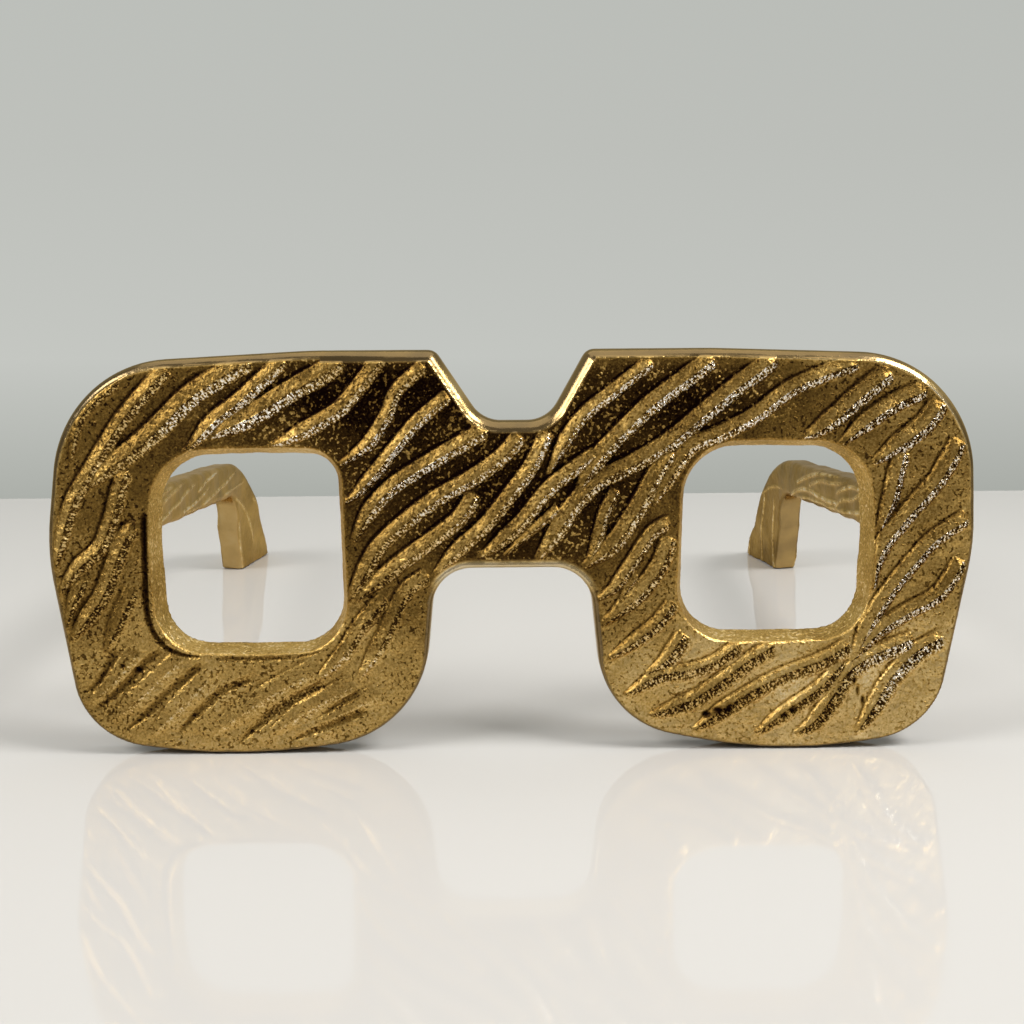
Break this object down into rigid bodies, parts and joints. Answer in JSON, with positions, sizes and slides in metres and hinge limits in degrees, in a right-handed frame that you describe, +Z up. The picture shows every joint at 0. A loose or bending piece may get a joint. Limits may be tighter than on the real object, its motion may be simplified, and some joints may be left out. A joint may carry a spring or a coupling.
{
  "type": "tabletop eyeglasses sculpture",
  "caption": "Oversized pair of eyeglasses for a shelf or table: thick cast rims with a wavy raised grain, a notched bridge and two temples that fold on barrel hinges.",
  "frame": {"origin": "middle of the object's base on the table, halfway from front to back", "axes": "+X to the right as seen from the front, along the width of the front, +Y from the face to the tips of the temples, +Z up, along the shortest side"},
  "size_m": [0.3003, 0.3014, 0.1307],
  "materials": {
    "front": "sand-cast brass with a coarse skin, dark patina between raised grain, rims polished to a satin edge",
    "temples": "cast brass, satin, with a shallow wavy grain",
    "hinges": "machined brass, lightly polished"
  },
  "bodies": {
    "front": {"frame_front": "front", "left_front_leaf": "hinges", "right_front_leaf": "hinges", "left_front_leaf_screws": "hinges", "right_front_leaf_screws": "hinges", "left_hinge_screw": "hinges", "right_hinge_screw": "hinges", "left_hinge_nut": "hinges", "right_hinge_nut": "hinges"},
    "left_temple": {"left_temple": "temples", "left_temple_leaf": "hinges", "left_temple_leaf_screws": "hinges"},
    "right_temple": {"right_temple": "temples", "right_temple_leaf": "hinges", "right_temple_leaf_screws": "hinges"}
  },
  "joints": [
    {"name": "left_fold", "type": "hinge", "parent": "front", "child": "left_temple", "pos_m": [-0.1415, -0.12585, 0.07034], "axis": [0, -0.0872, -0.9962], "range_deg": [0, 85]},
    {"name": "right_fold", "type": "hinge", "parent": "front", "child": "right_temple", "pos_m": [0.1415, -0.12585, 0.07034], "axis": [0, 0.0872, 0.9962], "range_deg": [0, 50]}
  ]
}
